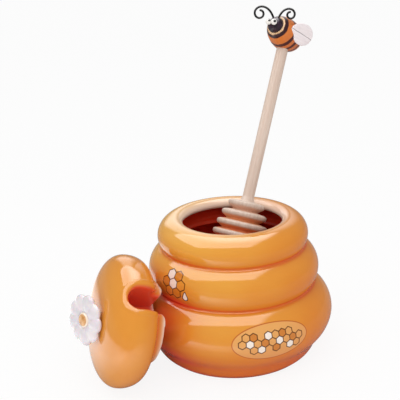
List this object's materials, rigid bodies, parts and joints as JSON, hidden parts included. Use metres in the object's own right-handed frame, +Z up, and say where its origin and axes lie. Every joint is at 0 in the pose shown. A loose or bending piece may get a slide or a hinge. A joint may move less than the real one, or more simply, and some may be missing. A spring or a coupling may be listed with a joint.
{
  "type": "honey pot",
  "caption": "Round three-tier ceramic honey pot with a loose domed lid and a wooden dipper topped by a bee.",
  "frame": {"origin": "centre of the pot's foot, on the surface that it stands on", "axes": "+Z up along the pot's axis; +X to the right and -Y towards the viewer of the picture"},
  "size_m": [0.1349, 0.13, 0.1773],
  "materials": {
    "amber_glaze": "gloss",
    "white_glaze": "gloss",
    "orange_glaze": "gloss",
    "beech": "bare, sanded",
    "painted_wood": "orange paint with dark stripes",
    "black_paint": "gloss black paint",
    "white_paint": "gloss",
    "white_wing": "white paint",
    "black_wire": "black"
  },
  "bodies": {
    "pot": {"pot_body": "amber_glaze"},
    "lid": {"lid_dome": "amber_glaze", "daisy_petals": "white_glaze", "daisy_centre": "orange_glaze"},
    "dipper": {"honey_dipper": "beech", "bee_body": "painted_wood", "bee_head": "black_paint", "bee_eye_left": "white_paint", "bee_eye_right": "white_paint", "bee_wing_left": "white_wing", "bee_wing_right": "white_wing", "bee_antenna_left": "black_wire", "bee_antenna_right": "black_wire"}
  },
  "joints": [
    {"name": "lid_take_away", "type": "slide", "parent": "pot", "child": "lid", "axis": [-0.9016, -0.3643, 0.2334], "range_m": [0, 0.09]},
    {"name": "dipper_lift", "type": "slide", "parent": "pot", "child": "dipper", "axis": [0, 0, 1], "range_m": [0, 0.1]}
  ]
}
